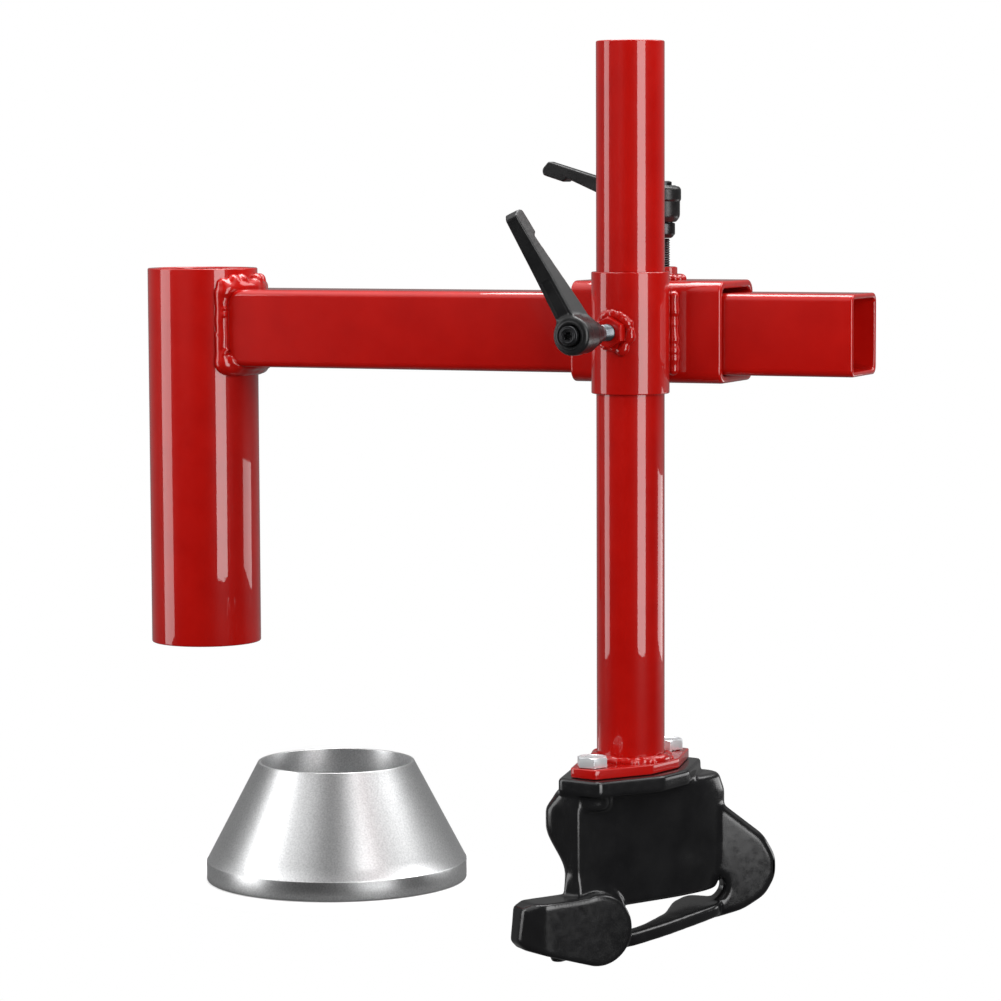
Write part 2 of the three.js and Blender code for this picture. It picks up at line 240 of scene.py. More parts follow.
def zinc_steel():
    greys = ((0.75, 0.77, 0.79), (0.88, 0.9, 0.92))
    return material("zinc_steel", greys, (0.26, 0.36), [(500, 1.5e-6)], metallic=0.6, grain=60)


def zinc_with_painted_shade():
    """The front stud's zinc steel made darker and bluish: painted shade and painted dark blue reflection in
    its colour.
    """
    greys = ((0.1, 0.112, 0.122), (0.17, 0.185, 0.2))
    return material("zinc_with_painted_shade", greys, (0.28, 0.38), [(900, 3e-6)], metallic=0.9, grain=110)


def spring_steel():
    greys = ((0.3, 0.31, 0.32), (0.45, 0.46, 0.48))
    return material("spring_steel", greys, (0.25, 0.38), [(1500, 4e-6)], metallic=1.0, grain=200)


def brass():
    yellows = ((0.5, 0.33, 0.1), (0.68, 0.48, 0.18))
    return material("brass", yellows, (0.25, 0.4), [(1200, 5e-6)], metallic=1.0, grain=150)


def aluminium():
    """Satin turned aluminium with a fine grain of bright and dull specks."""
    greys = ((0.58, 0.585, 0.59), (0.78, 0.785, 0.79))
    specks = [(1100, 9e-6), (2600, 6e-6)]
    return material("aluminium", greys, (0.28, 0.42), specks, metallic=1.0, grain=900)


FINISHES = {make.__name__: make for make in (
    red_coat, black_nylon, black_lever, black_steel, zinc_steel, zinc_with_painted_shade, spring_steel, brass,
    aluminium)}
made_finishes = {}


def finish(name):
    if name not in made_finishes:
        made_finishes[name] = FINISHES[name]()
    return made_finishes[name]


# ---------------------------------------------------------------- meshes
SMALLEST_CORNER = 0.6
AXIS = 0.001  # a radius so small that it counts as the axis


def dress(obj, slot, body, nodes, sharp=None):
    """Gives a piece its finish, shading, body and the CAD nodes that it stands for."""
    mesh = obj.data
    mesh.materials.clear()
    mesh.materials.append(finish(slot))
    for face in mesh.polygons:
        face.use_smooth = True
    if sharp:
        mesh.set_sharp_from_angle(angle=math.radians(sharp))
    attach(obj, body)
    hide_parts(*nodes)
    return obj


def build(name, verts, faces, place=None):
    """A mesh object from points in millimetres, moved by a matrix that is also in millimetres."""
    points = np.asarray(verts, float)
    if place is not None:
        turn = np.array(place)
        points = points @ turn[:3, :3].T + turn[:3, 3]
    mesh = bpy.data.meshes.new(name)
    mesh.from_pydata((points * MM).tolist(), [], faces)
    mesh.update()
    obj = bpy.data.objects.new(name, mesh)
    bpy.context.scene.collection.objects.link(obj)
    return obj


def loft(rings, looped=False):
    """Points and faces of a skin over rings of the same count. Its ends are capped unless it is looped."""
    count = len(rings[0])
    verts = [tuple(p) for ring in rings for p in ring]
    pairs = list(zip(range(len(rings) - 1), range(1, len(rings))))
    if looped:
        pairs.append((len(rings) - 1, 0))
    faces = []
    for a, b in pairs:
        for i in range(count):
            j = (i + 1) % count
            faces.append((a * count + i, a * count + j, b * count + j, b * count + i))
    if not looped:
        faces.append(tuple(range(count))[::-1])
        last = (len(rings) - 1) * count
        faces.append(tuple(range(last, last + count)))
    return verts, faces


def circle(radius, height, count, phase=0.0):
    angles = [2 * math.pi * i / count + phase for i in range(count)]
    return [(radius * math.cos(a), radius * math.sin(a), height) for a in angles]


def turned(profile, count=96):
    """Turns [radius, height] points about Z, running up the outside. A profile that ends where it
    starts makes a ring, and any other is capped."""
    looped = profile[0] == profile[-1]
    points = profile[:-1] if looped else profile
    return loft([circle(r, z, count) for r, z in points], looped)


def quarter(centre, radius, start, steps=4):
    """A quarter circle of [radius, height] points round a centre, from a start angle in degrees."""
    angles = [math.radians(start + 90 * i / steps) for i in range(steps + 1)]
    return [(centre[0] + radius * math.cos(a), centre[1] + radius * math.sin(a)) for a in angles]


def pipe(outer, inner, low, high, edge, count=160):
    """A pipe whose sawn rims have softened edges."""
    bends = ((outer - edge, low + edge, 270), (outer - edge, high - edge, 0),
             (inner + edge, high - edge, 90), (inner + edge, low + edge, 180))
    profile = []
    for radius, height, start in bends:
        profile += quarter((radius, height), edge, start)
    return turned(profile + profile[:1], count)


def square_section(side, corner, steps=7):
    """The outline of a rounded square as (y, z) points."""
    points = []
    inner = side / 2 - corner
    for quadrant, (sy, sz) in enumerate(((1, 1), (-1, 1), (-1, -1), (1, -1))):
        for i in range(steps + 1):
            angle = math.pi / 2 * (quadrant + i / steps)
            points.append((sy * inner + corner * math.cos(angle), sz * inner + corner * math.sin(angle)))
    return points


def square_tube(side, corner, wall, start, end, edge):
    """A square tube along X, from rings that run along its outside and back along its inside. start and
    end give x from a section's y, so that an end can be coped."""
    rings = []

    def ring(inset, at, back):
        section = square_section(side - 2 * inset, max(corner - 0.5 * inset, SMALLEST_CORNER))
        rings.append([(at(y) + back, y, z) for y, z in section])

    bends = [math.pi / 2 * i / 4 for i in range(5)]
    for a in bends:
        ring(edge * (1 - math.sin(a)), start, edge * (1 - math.cos(a)))
    for a in bends:
        ring(edge * (1 - math.cos(a)), end, -edge * (1 - math.sin(a)))
    for a in bends:
        ring(wall - edge * (1 - math.sin(a)), end, -edge * (1 - math.cos(a)))
    for a in bends:
        ring(wall - edge * (1 - math.cos(a)), start, edge * (1 - math.sin(a)))
    return loft(rings, looped=True)


def settle(obj):
    """Makes an object's modifiers part of its mesh."""
    bpy.context.view_layer.update()
    evaluated = obj.evaluated_get(bpy.context.evaluated_depsgraph_get())
    mesh = bpy.data.meshes.new_from_object(evaluated)
    old = obj.data
    obj.modifiers.clear()
    obj.data = mesh
    bpy.data.meshes.remove(old)
    return obj


def combine(obj, other, operation):
    """Joins obj with other, cuts it with other, or keeps what they share, and removes other."""
    change = obj.modifiers.new("combine", "BOOLEAN")
    change.operation = operation
    change.solver = "EXACT"
    change.object = other
    settle(obj)
    bpy.data.objects.remove(other)
    return obj


def drilled(obj, radius, low, high, place=None, count=64):
    """Cuts a round hole along a place's Z."""
    return combine(obj, build("hole", *turned([(radius, low), (radius, high)], count), place), "DIFFERENCE")


def moved(obj, place):
    """Moves a mesh by a matrix that is in millimetres."""
    for change in (Matrix.Scale(1 / MM, 4), place, Matrix.Scale(MM, 4)):
        obj.data.transform(change)
    return obj


def bevel(obj, width, angle, segments):
    change = obj.modifiers.new("bevel", "BEVEL")
    change.width = width * MM
    change.segments = segments
    change.limit_method = "ANGLE"
    change.angle_limit = math.radians(angle)
    return settle(obj)


def knurled(levels, crest, depth, teeth, count):
    """Rings at (radius, height) levels. Those with the crest's radius are toothed."""
    rings = []
    for radius, z in levels:
        wave = depth if radius == crest else 0
        ring = []
        for i in range(count):
            angle = 2 * math.pi * i / count
            r = radius - wave + wave * math.cos(teeth * angle)
            ring.append((r * math.cos(angle), r * math.sin(angle), z))
        rings.append(ring)
    return rings


# ---------------------------------------------------------------- distance fields
FAR = 50.0  # a distance that no blend reaches
CELL_CORNERS = [np.array((i, j, k)) for i in (0, 1) for j in (0, 1) for k in (0, 1)]


def outline_distance(x, y, points):
    """Distance to a closed outline in a plane, negative inside."""
    best, sign = None, 1.0
    for i, (ax, ay) in enumerate(points):
        bx, by = points[i - 1]
        ex, ey = bx - ax, by - ay
        wx, wy = x - ax, y - ay
        along = np.clip((wx * ex + wy * ey) / (ex * ex + ey * ey), 0, 1)
        gap = (wx - ex * along) ** 2 + (wy - ey * along) ** 2
        best = gap if best is None else np.minimum(best, gap)
        above, under, left = y >= ay, y < by, ex * wy > ey * wx
        crossed = (above & under & left) | ~(above | under | left)
        sign = np.where(crossed, -sign, sign)
    return sign * np.sqrt(best)


def rounded_box(across, along, edge):
    """Distance to a box in a plane, from the distances past its sides both ways."""
    outside = np.sqrt(np.maximum(across + edge, 0) ** 2 + np.maximum(along + edge, 0) ** 2)
    return outside + np.minimum(np.maximum(across + edge, along + edge), 0) - edge


def slab(flat, height, low, high, edge):
    """A flat outline's distance stretched from low to high, with its edges rounded."""
    return rounded_box(flat, np.abs(height - (low + high) / 2) - (high - low) / 2, edge)


def ball(gaps, radius):
    """Distance to a ball, or to a cylinder when only two of the three gaps from its middle are given."""
    return np.sqrt(sum(gap ** 2 for gap in gaps)) - radius


def join(a, b, fillet):
    """Two distances as one, with a rounded hollow where their surfaces meet."""
    share = np.clip(0.5 + 0.5 * (b - a) / fillet, 0, 1)
    return b + (a - b) * share - fillet * share * (1 - share)


def meet(a, b, fillet):
    """What two distances share, with a rounded edge."""
    return -join(-a, -b, fillet)


def carve(a, b, fillet):
    """Takes b out of a, with a rounded edge."""
    return meet(a, -b, fillet)


def eased(points, reach, steps=4):
    """An outline with each corner turned into a short curve. reach is how far along its edges it starts,
    one number for all corners or one for each."""
    reaches = [reach] * len(points) if np.isscalar(reach) else reach
    corners = [np.array(p, float) for p in points]
    out = []
    for i, here in enumerate(corners):
        if reaches[i] == 0:
            out.append(here)
            continue
        before, after = corners[i - 1] - here, corners[(i + 1) % len(corners)] - here
        first = here + before * min(reaches[i] / np.linalg.norm(before), 0.48)
        last = here + after * min(reaches[i] / np.linalg.norm(after), 0.48)
        for s in np.linspace(0, 1, steps + 1):
            out.append(first * (1 - s) ** 2 + here * 2 * s * (1 - s) + last * s * s)
    return np.array(out)


def arc(centre, radius, start, end, steps):
    angles = np.linspace(math.radians(start), math.radians(end), steps)
    return [(centre[0] + radius * math.cos(a), centre[1] + radius * math.sin(a)) for a in angles]


class Field:
    """A block of space on a grid, which holds the distance to a surface, in millimetres."""

    def __init__(self, low, high, step):
        self.low, self.step = np.array(low, float), step
        counts = np.ceil((np.array(high) - self.low) / step).astype(int) + 1
        axes = [(self.low[i] + step * np.arange(counts[i])).astype(np.float32) for i in range(3)]
        self.axes = axes
        self.x, self.y, self.z = np.meshgrid(*axes, indexing="ij", sparse=True)
        self.values = np.full(counts, FAR, np.float32)

    def blob(self, centre, radius, fillet):
        """Adds a ball, working only on the grid near it."""
        reach = radius + 3 * fillet
        spans = []
        for i in range(3):
            first = int((centre[i] - reach - self.low[i]) / self.step)
            last = int((centre[i] + reach - self.low[i]) / self.step) + 2
            spans.append(slice(max(first, 0), max(last, 0)))
        sx, sy, sz = spans
        near = (self.x[sx], self.y[:, sy], self.z[:, :, sz])
        added = ball([axis - at for axis, at in zip(near, centre)], radius)
        self.values[sx, sy, sz] = join(self.values[sx, sy, sz], added, fillet)

    def fill(self, values):
        self.values = np.ascontiguousarray(np.broadcast_to(values, self.values.shape)).astype(np.float32)

    def soften(self, passes):
        """Rounds every edge a little."""
        for _ in range(passes):
            for axis in range(3):
                v = np.moveaxis(self.values, axis, 0)
                v[1:-1] = 0.25 * v[:-2] + 0.5 * v[1:-1] + 0.25 * v[2:]

    def surface(self):
        """Points and faces of the surface where the distance is nothing: one point for each cell that it
        crosses, in the middle of its crossings, and one face for each grid edge that it cuts."""
        inside = self.values < 0
        cells = tuple(n - 1 for n in inside.shape)
        count = np.zeros(cells, np.int8)
        for i, j, k in CELL_CORNERS:
            count += inside[i:cells[0] + i, j:cells[1] + j, k:cells[2] + k]
        mixed = (count > 0) & (count < len(CELL_CORNERS))
        number = np.full(cells, -1)
        number[mixed] = np.arange(int(mixed.sum()))
        return self.cell_points(np.argwhere(mixed)), edge_faces(inside, number)

    def cell_points(self, index):
        total, hits = np.zeros((len(index), 3)), np.zeros(len(index))
        for a in CELL_CORNERS:
            for b in CELL_CORNERS:
                if np.sum(b - a) != 1 or np.sum(np.abs(b - a)) != 1:
                    continue
                va, vb = self.values[tuple((index + a).T)], self.values[tuple((index + b).T)]
                cross = (va < 0) != (vb < 0)
                share = va[cross] / (va[cross] - vb[cross])
                total[cross] += a + share[:, None] * (b - a)
                hits += cross
        return self.low + (index + total / hits[:, None]) * self.step


def edge_faces(inside, number):
    """A face round each cut grid edge, from the numbers of the four cells that share the edge."""
    faces = []
    for axis in range(3):
        u, w = np.eye(3, dtype=int)[(axis + 1) % 3], np.eye(3, dtype=int)[(axis + 2) % 3]
        near, far = [slice(1, -1)] * 3, [slice(1, -1)] * 3
        near[axis], far[axis] = slice(0, -1), slice(1, None)
        cut = inside[tuple(near)] != inside[tuple(far)]
        start = np.argwhere(cut) + np.where(np.arange(3) == axis, 0, 1)
        quads = np.stack([number[tuple((start - s).T)] for s in (u + w, w, 0 * u, u)], 1)
        leaving = inside[tuple(start.T)]
        faces.append(np.where(leaving[:, None], quads, quads[:, ::-1]))
    return np.concatenate(faces).tolist()


# ---------------------------------------------------------------- weld beads
def bead(name, spots, step, fillet, body, node_name, place=None):
    """A weld bead from (x, y, z, radius) spots laid one over the next."""
    spots = np.array(spots)
    reach = spots[:, 3:].max() + 2
    field = Field(spots[:, :3].min(0) - reach, spots[:, :3].max(0) + reach, step)
    for x, y, z, radius in spots:
        field.blob((x, y, z), radius, min(fillet, 0.4 * radius))
    field.soften(1)
    points, faces = field.surface()
    return dress(build(name, points, faces, place), "red_coat", body, [node_name])


def jitter(size):
    return RANDOM.normal(0, size)


# ---------------------------------------------------------------- pivot sleeve and arm
ARM_WALL = 3.2
ARM_CORNER = 5
ARM_EDGE = 1.4
PIVOT_BORE = 62.7
SPATTER_COUNT = 26


def pivot_sleeve():
    low, high = millimetres("pivot_sleeve")
    sleeve = build("sleeve", *pipe(PIVOT_RADIUS, PIVOT_BORE / 2, low[2], high[2], 0.9, 224))
    dress(sleeve, "red_coat", "arm", ["pivot_sleeve"])


def on_sleeve(y, gap=0.0):
    """x of the sleeve's outside, or of a little further out, beside a y across it."""
    return math.sqrt((PIVOT_RADIUS + gap) ** 2 - min(abs(y), PIVOT_RADIUS - 5) ** 2)


def arm_tube():
    end = millimetres("arm_tube")[1][0]
    skin = square_tube(ARM_SIDE, ARM_CORNER, ARM_WALL, lambda y: on_sleeve(y, 0.3), lambda y: end, ARM_EDGE)
    arm = build("arm", *skin, Matrix.Translation((0, 0, ARM_HEIGHT)))
    dress(arm, "red_coat", "arm", ["arm_tube"])


def round_the_arm(spacing):
    """Evenly spaced (y, z) points on the arm's outline."""
    outline = square_section(ARM_SIDE, ARM_CORNER, 5)
    path = []
    for i, (y, z) in enumerate(outline):
        y2, z2 = outline[(i + 1) % len(outline)]
        steps = max(1, round(math.hypot(y2 - y, z2 - z) / spacing))
        path += [(y + (y2 - y) * s / steps, z + (z2 - z) * s / steps) for s in range(steps)]
    return path


def arm_weld():
    """The bead round the arm's foot: thicker above and below, with heavy lumps and spatter by its side."""
    balls = []
    for y, z in round_the_arm(1.9):
        above, below = z > ARM_SIDE * 0.42, z < -ARM_SIDE * 0.42
        size = 5.0 if above or below else 3.9
        x = on_sleeve(y) + 1.5 + jitter(0.3)
        balls.append((x, y * 1.03, z * 1.03 + ARM_HEIGHT, size * (1 + jitter(0.05))))
        if below:
            balls.append((on_sleeve(y) + 6.5, y * 0.97, z * 1.02 + ARM_HEIGHT + 1.6, 3.6 + jitter(0.2)))
    heavy = ((-19, 30.5, 4.9), (-25, 28.5, 4.4), (-13, 31.5, 4.2), (-26, 24, 3.6), (4, 31, 4.6),
             (15, 31, 4.2))
    for y, z, size in heavy:
        balls.append((on_sleeve(y) + 1.5, y, z + ARM_HEIGHT, size))
    for _ in range(SPATTER_COUNT):
        z = RANDOM.uniform(-24, 27) + ARM_HEIGHT
        x = on_sleeve(ARM_SIDE / 2) + RANDOM.uniform(-1.5, 6)
        y = -ARM_SIDE / 2 - RANDOM.uniform(1.6, 3.2)
        balls.append((x, y, z, RANDOM.uniform(0.9, 1.9)))
    bead("arm_bead", balls, 0.5, 2.4, "arm", "arm_weld")


# ---------------------------------------------------------------- carriage
CARRIAGE_WALL = 4.76
CARRIAGE_CORNER = 8
CARRIAGE_EDGE = 1.9
CLAMP_BORE = 42.8
SCREW_HOLE = 6
NUT_FLATS = 17
NUT_HEIGHT = 8.4
NUT_BORE = 5.25
CHAMFER_SLOPE = math.tan(math.radians(28))


def hexagon_block(flats, low, high, count=96):
    """A hexagonal block whose top corners are chamfered by a turned cone, as a nut or bolt head is."""
    corner = flats / math.sqrt(3)
    block = build("block", *loft([circle(corner, z, 6, math.pi / 6) for z in (low, high)]))
    rim = flats / 2 * 0.985
    outside = corner + 0.2
    shoulder = high - (corner - rim) * CHAMFER_SLOPE
    profile = [(AXIS, low), (outside, low), (outside, shoulder), (rim, high), (AXIS, high)]
    return combine(block, build("cone", *turned(profile, count)), "INTERSECT")


def weld_nut(prefix, place):
    nut = hexagon_block(NUT_FLATS, 0.3, NUT_HEIGHT)
    drilled(nut, NUT_BORE, -4, 20)
    moved(bevel(nut, 0.35, 25, 3), place)
    nut.name = f"{prefix}_nut"
    dress(nut, "red_coat", "carriage", [f"{prefix}_weld_nut"], sharp=50)


def lumps(radius, start, end, count, size, wall):
    """Weld lumps round a nut, between two angles in degrees. wall gives the wall's height from x."""
    spots = []
    for angle in np.linspace(math.radians(start), math.radians(end), count):
        x, y = radius * math.cos(angle), radius * math.sin(angle)
        spot = (x + jitter(0.3), y + jitter(0.3), wall(x) + 1.1 + jitter(0.3))
        spots.append((*spot, size * (1 + jitter(0.14))))
    return spots


def carriage_tube():
    low, high = millimetres("carriage_tube")
    skin = square_tube(CARRIAGE_SIDE, CARRIAGE_CORNER, CARRIAGE_WALL, lambda y: low[0], lambda y: high[0],
                       CARRIAGE_EDGE)
    tube = build("carriage", *skin, Matrix.Translation((0, 0, middle("carriage_tube")[2])))
    drilled(tube, SCREW_HOLE, -14, 14, top_seat())
    dress(tube, "red_coat", "carriage", ["carriage_tube"], sharp=40)


def post_clamp():
    half = span("post_clamp_sleeve", 2) / 2
    place = Matrix.Translation((POST_X, POST_Y, middle("post_clamp_sleeve")[2]))
    clamp = build("clamp", *pipe(CLAMP_RADIUS, CLAMP_BORE / 2, -half, half, 0.8, 192), place)
    drilled(clamp, SCREW_HOLE, -14, 8, front_seat())
    dress(clamp, "red_coat", "carriage", ["post_clamp_sleeve"], sharp=40)


def clamp_welds():
    """An upright bead on each side, where the post's sleeve meets the carriage."""
    height = middle("carriage_tube")[2]
    for sign, side in ((-1, "left"), (1, "right")):
        spots = []
        for z in np.arange(-23, 23.1, 2.4):
            x = POST_X + sign * (20.3 + jitter(0.25))
            y = -CARRIAGE_SIDE / 2 - 2.6 + jitter(0.25)
            spots.append((x, y, height + z, 3.4 * (1 + jitter(0.12))))
        bead(f"clamp_bead_{side}", spots, 0.5, 1.0, "carriage", f"clamp_weld_{side}")


def round_wall(x):
    """Height of the post sleeve's round wall beside the front nut's axis."""
    return math.sqrt(CLAMP_RADIUS ** 2 - x * x) - CLAMP_RADIUS


def weld_nuts():
    weld_nut("front", front_seat())
    ring = lumps(10.9, -70, 165, 17, 2.9, round_wall) + lumps(11.5, 30, 120, 6, 3.0, round_wall)
    ring += lumps(12.6, -62, -52, 2, 3.3, round_wall) + lumps(10.0, 165, 290, 9, 1.9, round_wall)
    bead("front_nut_bead", ring, 0.4, 0.9, "carriage", "front_nut_weld", front_seat())
    weld_nut("top", top_seat())
    ring = lumps(10.8, 0, 340, 24, 2.7, lambda x: 0) + lumps(12, 300, 400, 5, 2.6, lambda x: -0.4)
    bead("top_nut_bead", ring, 0.4, 0.9, "carriage", "top_nut_weld", top_seat())


# ---------------------------------------------------------------- clamping levers
PITCH = 1.5
COLLAR_FROM = 26.3
HUB_FROM = 36.3
HUB_TO = 58.8
BORE_TO = 44.6
RECESS_FROM = 47.2
HEAD_FROM = 57.4
HANDLE_REACH = 84
HANDLE_RISE = math.radians(20)
HANDLE_PIVOT = 46


def threaded(radius, low, high, plain_to, count=48):
    """Rings of a rod with a helical thread that runs out into a plain neck at plain_to."""
    depth = 0.72
    rings = [circle(radius - 1, low, count)]
    for z in np.arange(low + 0.8, high - 0.001, PITCH / 8):
        ring = []
        for i in range(count):
            turn = i / count
            phase = (z / PITCH - turn) % 1
            cut = depth * (1 - abs(2 * phase - 1)) if z < plain_to else 0
            r = min(radius, radius - cut + 0.08)
            ring.append((r * math.cos(2 * math.pi * turn), r * math.sin(2 * math.pi * turn), z))
        rings.append(ring)
    rings.append(circle(radius, high, count))
    return loft(rings)


def stud(prefix, slot, place):
    """The M10 stud. The front one is bare between the nut and the collar."""
    low, plain_from = (-1.85, 19) if prefix == "front" else (-6.15, COLLAR_FROM)
    rod = build(f"{prefix}_stud", *threaded(5, low, COLLAR_FROM - 0.3, plain_from), place)
    dress(rod, slot, f"{prefix}_stud", [f"{prefix}_clamp_stud"], sharp=35)
    if prefix == "front":
        # The front stud takes a darker, bluish copy of the zinc finish, with painted shade and painted
        # reflection in its colour.
        rod.data.materials[0] = finish("zinc_with_painted_shade")


def serrated_insert(prefix, place):
    """The steel insert: a collar under the handle and a neck with serrations for the handle's bore."""
    neck, bore = 6.7, 2.8
    levels = [(5.6, COLLAR_FROM), (6.6, COLLAR_FROM + 0.5), (8.1, COLLAR_FROM + 2.4),
              (8.2, COLLAR_FROM + 3), (8.2, HUB_FROM - 1), (7.7, HUB_FROM - 0.4), (neck, HUB_FROM - 0.3),
              (neck, BORE_TO - 1.4), (6.2, BORE_TO - 0.6), (bore, BORE_TO - 0.6), (bore, HUB_FROM + 1)]
    insert = build(f"{prefix}_insert", *loft(knurled(levels, neck, 0.25, 24, 144)), place)
    dress(insert, "black_steel", f"{prefix}_stud", [f"{prefix}_lever_insert"], sharp=35)


def lever_spring(prefix, place):
    """A coil whose ends lie flat, under the screw's head."""
    wire, radius, turns, around = 0.55, 4.55, 5, 10
    steps = turns * 28
    low, high = RECESS_FROM + 0.2 + wire, HEAD_FROM - 0.1 - wire
    rings = []
    for step in range(steps + 1):
        share = step / steps
        angle = 2 * math.pi * turns * share
        rise = low + (high - low) * (3 * share ** 2 - 2 * share ** 3)
        ring = []
        for x, z, _ in circle(wire, 0, around):
            ring.append(((radius + x) * math.cos(angle), (radius + x) * math.sin(angle), rise + z))
        rings.append(ring)
    coil = build(f"{prefix}_spring", *loft(rings), place)
    dress(coil, "spring_steel", f"{prefix}_core", [f"{prefix}_lever_spring"], sharp=60)
    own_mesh(coil)


def lever_screw(prefix, place):
    """The retaining screw: a round head with a six-lobed socket, on a thin shank."""
    field = Field((-7.2, -7.2, HUB_FROM + 0.8), (7.2, 7.2, 62.6), 0.18)
    r = ball((field.x, field.y), 0)
    shank = slab(r - 2.5, field.z, HUB_FROM + 1.6, HEAD_FROM + 1, 0.3)
    head = slab(r - 6.1, field.z, HEAD_FROM, 61.8, 0.7)
    rim = slab(np.abs(r - 4.3) - 0.5, field.z, 61.2, 62.15, 0.3)
    lobes = r - 2.5 - 0.42 * np.cos(6 * np.arctan2(field.y, field.x))
    socket = slab(lobes, field.z, 59, 64, 0.1)
    field.fill(carve(join(join(shank, head, 0.2), rim, 0.3), socket, 0.25))
    screw = build(f"{prefix}_screw", *field.surface(), place)
    dress(screw, "black_steel", f"{prefix}_core", [f"{prefix}_lever_screw"])


def handle_grip(x, y, z):
    """The tapered grip: its side view cut out of a wedge with sloped sides, and a framed panel."""
    along = x * math.cos(HANDLE_RISE) + (z - HANDLE_PIVOT) * math.sin(HANDLE_RISE)
    up = (z - HANDLE_PIVOT) * math.cos(HANDLE_RISE) - x * math.sin(HANDLE_RISE) + HANDLE_PIVOT
    side = [(0, 38.7), (18, 38.7), (65.5, 41.2), (66.5, 38.4), (82, 37.6), (HANDLE_REACH, 41),
            (HANDLE_REACH - 2, 47), (40, 49.4), (8, 53), (0, 53)]
    lengthwise = outline_distance(along, up, eased(side, [0, 6, 1, 1, 1.5, 1.5, 1.2, 8, 3, 0]))
    root, tip, slope = 8.8, 5.4, 0.2
    width = root + (tip - root) * np.clip((along - 6) / (HANDLE_REACH - 8), 0, 1)
    across = (np.abs(y) - width + slope * np.clip(up - 39, 0, 20)) * 0.98
    grip = meet(lengthwise, across, 0.8)

    back = np.abs(lengthwise)
    on_back = (up > 46) & (back < 3)
    frame = rounded_box(np.abs(along - 27) - 12.5, np.abs(y) - 3.9 + 0.03 * (along - 27), 1.2)
    line = np.where(on_back, np.maximum(np.abs(frame) - 0.42, back - 0.45), 5)
    panel = np.where(on_back, np.maximum(frame + 0.5, back - 0.35), 5)
    return join(carve(grip, panel, 0.3), line + 0.12, 0.3)


def handle(prefix, place):
    """The die-cast handle: a stepped hub with a grip, hollow for the insert, the spring and the screw."""
    step = 0.42
    field = Field((-13.5, -13.5, 35), (88, 13.5, 84), step)
    z = field.z
    r = ball((field.x, field.y), 0)
    profile = [(-20, HUB_FROM), (8.8, HUB_FROM), (11.3, 39.6), (11.3, 49.6), (12, 50.2), (12, 57),
               (10.6, HUB_TO), (-20, HUB_TO)]
    hub = outline_distance(r, z, eased(profile, [0, 1, 1.6, 0.2, 0.2, 0.8, 0.8, 0]))
    body = join(hub, handle_grip(field.x, field.y, z), 2.2)
    lip = slab(np.abs(r - 8.1) - 0.55, z, HUB_TO - 1, HUB_TO + 0.7, 0.4)
    body = join(body, lip, 0.5)
    for radius, low, high in ((7.1, 20, BORE_TO), (3.2, BORE_TO - 1, RECESS_FROM + 1),
                              (6.7, RECESS_FROM, HUB_TO + 16)):
        body = np.maximum(body, -slab(r - radius, z, low, high, 0.1))
    field.fill(body)
    field.soften(1)
    made = build(f"{prefix}_handle", *field.surface(), place)
    dress(made, "black_lever", f"{prefix}_handle", [f"{prefix}_lever_handle"])


def levers():
    for prefix, seat, angle, slot in (("front", front_seat(), FRONT_HANDLE_ANGLE, "zinc_steel"),
                                      ("top", top_seat(), TOP_HANDLE_ANGLE, "black_steel")):
        place = seat @ Matrix.Rotation(angle, 4, "Z")
        stud(prefix, slot, place)
        serrated_insert(prefix, place)
        lever_spring(prefix, place)
        lever_screw(prefix, place)
        handle(prefix, place)


# ---------------------------------------------------------------- post, flange and bolts
POST_WALL = 3.5
BOLT_OFFSET = 42.5
BOLT_TURN = 0.2
FLANGE_TOP = -52.0
FLANGE_THICK = 6
HEAD_TOP = -58.3


def mirrored(quarter_points):
    """An outline that is the same to both sides of X and of Y, from its corners where both are positive."""
    points = []
    for sx, sy in ((-1, -1), (1, -1), (1, 1), (-1, 1)):
        corner = [(sx * x, sy * y) for x, y in quarter_points]
        points += corner if sx == sy else corner[::-1]
    return points


def post():
    low, high = millimetres("post_tube")
    place = Matrix.Translation((POST_X, POST_Y, 0))
    tube = build("post", *pipe(POST_RADIUS, POST_RADIUS - POST_WALL, low[2], high[2], 0.8, 192), place)
    dress(tube, "red_coat", "post", ["post_tube"])


def flange():
    outline = eased(mirrored([(53, 9), (15, 26)]), 1.6, 3)
    rings = [[(x, y, z) for x, y in outline] for z in (FLANGE_TOP - FLANGE_THICK, FLANGE_TOP)]
    plate = build("flange", *loft(rings), on_head)
    for x in (-BOLT_OFFSET, BOLT_OFFSET):
        drilled(plate, 5.5, -70, -40, on_head @ Matrix.Translation((x, 0, 0)))
    bevel(plate, 0.8, 40, 4)
    dress(plate, "red_coat", "head", ["post_flange"], sharp=40)


def flange_weld():
    """The bead round the post's foot, with a few lumps beside it and the post's own space cut out."""
    place = Matrix.Translation((POST_X, POST_Y, 0))
    spots = []
    for angle in np.linspace(0, 2 * math.pi, 52, endpoint=False):
        r = POST_RADIUS + 1.2 + jitter(0.25)
        z = FLANGE_TOP + 0.9 + jitter(0.3)
        spots.append((r * math.cos(angle), r * math.sin(angle), z, 3.3 + jitter(0.25)))
    for angle in (-150, -128, -64, -35, 20, 75, 170):
        r, a = POST_RADIUS + 4.2, math.radians(angle)
        spots.append((r * math.cos(a), r * math.sin(a), FLANGE_TOP + 0.2, 1.7 + abs(jitter(0.4))))
    made = bead("flange_bead", spots, 0.5, 1.5, "head", "flange_weld", place)
    drilled(made, POST_RADIUS + 0.25, -80, 0, place, 192)
    made.data.set_sharp_from_angle(angle=math.radians(50))


